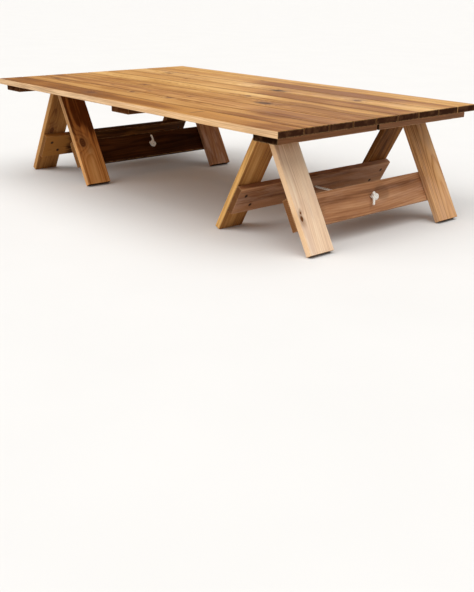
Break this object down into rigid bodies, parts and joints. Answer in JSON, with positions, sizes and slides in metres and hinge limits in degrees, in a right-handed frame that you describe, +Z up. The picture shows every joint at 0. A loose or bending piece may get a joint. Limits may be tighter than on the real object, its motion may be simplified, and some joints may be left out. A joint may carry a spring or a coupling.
{
  "type": "folding picnic table",
  "caption": "Low folding picnic table: a loose boarded wooden top with cleats on two hinged trestles held open by knotted rope.",
  "frame": {"origin": "on the ground, at the centre of the whole table box seen from above", "axes": "+X along the table towards the right end, +Y across it towards the far side, +Z up"},
  "size_m": [1.4508, 0.826, 0.339],
  "materials": {
    "top_boards": "oiled pine, satin",
    "cleats": "oiled pine, matt",
    "legs": "oiled pine, satin",
    "rails": "oiled pine, satin",
    "hinge_steel": "zinc plated, satin",
    "screws": "dark phosphate, satin",
    "rope": "laid cotton rope, matt"
  },
  "bodies": {
    "right_ridge": {"right_hinge_near_pin": "hinge_steel", "right_hinge_far_pin": "hinge_steel"},
    "top": {"plank_1": "top_boards", "plank_2": "top_boards", "plank_3": "top_boards", "plank_4": "top_boards", "plank_5": "top_boards", "plank_6": "top_boards", "plank_7": "top_boards", "plank_8": "top_boards", "plank_9": "top_boards", "cleat_right": "cleats", "cleat_middle": "cleats", "cleat_left": "cleats"},
    "right_outer_frame": {"right_outer_leg_near": "legs", "right_outer_leg_far": "legs", "right_outer_rail": "rails", "right_hinge_near_leaf_outer": "hinge_steel", "right_hinge_far_leaf_outer": "hinge_steel", "right_outer_screw_near_upper": "screws", "right_outer_screw_near_lower": "screws", "right_outer_screw_far_upper": "screws", "right_outer_screw_far_lower": "screws", "right_rope_knot_outer": "rope"},
    "right_outer_rope": {"right_rope_strand_outer": "rope"},
    "right_inner_frame": {"right_inner_leg_near": "legs", "right_inner_leg_far": "legs", "right_inner_rail": "rails", "right_hinge_near_leaf_inner": "hinge_steel", "right_hinge_far_leaf_inner": "hinge_steel", "right_inner_screw_near_upper": "screws", "right_inner_screw_near_lower": "screws", "right_inner_screw_far_upper": "screws", "right_inner_screw_far_lower": "screws", "right_rope_knot_inner": "rope"},
    "right_inner_rope": {"right_rope_strand_inner": "rope"},
    "left_ridge": {"left_hinge_near_pin": "hinge_steel", "left_hinge_far_pin": "hinge_steel"},
    "left_outer_frame": {"left_outer_leg_near": "legs", "left_outer_leg_far": "legs", "left_outer_rail": "rails", "left_hinge_near_leaf_outer": "hinge_steel", "left_hinge_far_leaf_outer": "hinge_steel", "left_outer_screw_near_upper": "screws", "left_outer_screw_near_lower": "screws", "left_outer_screw_far_upper": "screws", "left_outer_screw_far_lower": "screws", "left_rope_knot_outer": "rope"},
    "left_outer_rope": {"left_rope_strand_outer": "rope"},
    "left_inner_frame": {"left_inner_leg_near": "legs", "left_inner_leg_far": "legs", "left_inner_rail": "rails", "left_hinge_near_leaf_inner": "hinge_steel", "left_hinge_far_leaf_inner": "hinge_steel", "left_inner_screw_near_upper": "screws", "left_inner_screw_near_lower": "screws", "left_inner_screw_far_upper": "screws", "left_inner_screw_far_lower": "screws", "left_rope_knot_inner": "rope"},
    "left_inner_rope": {"left_rope_strand_inner": "rope"}
  },
  "joints": [
    {"name": "top_lift", "type": "slide", "parent": "right_ridge", "child": "top", "axis": [0, 0, 1], "range_m": [0, 0.35]},
    {"name": "left_trestle_shift", "type": "slide", "parent": "right_ridge", "child": "left_ridge", "axis": [1, 0, 0], "range_m": [-0.043, 0.45]},
    {"name": "right_outer_fold", "type": "hinge", "parent": "right_ridge", "child": "right_outer_frame", "pos_m": [0.53208, 0.017, 0.31365], "axis": [0, 1, 0], "range_deg": [0, 22]},
    {"name": "right_outer_rope_drop", "type": "hinge", "parent": "right_outer_frame", "child": "right_outer_rope", "pos_m": [0.63423, 0.017, 0.09472], "axis": [0, -1, 0], "range_deg": [0, 105], "deforming": ["right_rope_strand_outer"]},
    {"name": "right_inner_fold", "type": "hinge", "parent": "right_ridge", "child": "right_inner_frame", "pos_m": [0.53208, 0.017, 0.31365], "axis": [0, -1, 0], "range_deg": [0, 22]},
    {"name": "right_inner_rope_drop", "type": "hinge", "parent": "right_inner_frame", "child": "right_inner_rope", "pos_m": [0.42994, 0.017, 0.09472], "axis": [0, 1, 0], "range_deg": [0, 105], "deforming": ["right_rope_strand_inner"]},
    {"name": "left_outer_fold", "type": "hinge", "parent": "left_ridge", "child": "left_outer_frame", "pos_m": [-0.52892, 0.017, 0.31365], "axis": [0, -1, 0], "range_deg": [0, 22]},
    {"name": "left_outer_rope_drop", "type": "hinge", "parent": "left_outer_frame", "child": "left_outer_rope", "pos_m": [-0.63106, 0.017, 0.09472], "axis": [0, 1, 0], "range_deg": [0, 105], "deforming": ["left_rope_strand_outer"]},
    {"name": "left_inner_fold", "type": "hinge", "parent": "left_ridge", "child": "left_inner_frame", "pos_m": [-0.52892, 0.017, 0.31365], "axis": [0, 1, 0], "range_deg": [0, 22]},
    {"name": "left_inner_rope_drop", "type": "hinge", "parent": "left_inner_frame", "child": "left_inner_rope", "pos_m": [-0.42677, 0.017, 0.09472], "axis": [0, -1, 0], "range_deg": [0, 105], "deforming": ["left_rope_strand_inner"]}
  ],
  "couplings": [
    {"joint": "right_outer_rope_drop", "follows": "right_outer_fold", "ratio": 4.7664},
    {"joint": "right_inner_fold", "follows": "right_outer_fold", "ratio": 1},
    {"joint": "right_inner_rope_drop", "follows": "right_outer_fold", "ratio": 4.7664},
    {"joint": "left_outer_rope_drop", "follows": "left_outer_fold", "ratio": 4.7664},
    {"joint": "left_inner_fold", "follows": "left_outer_fold", "ratio": 1},
    {"joint": "left_inner_rope_drop", "follows": "left_outer_fold", "ratio": 4.7664}
  ]
}
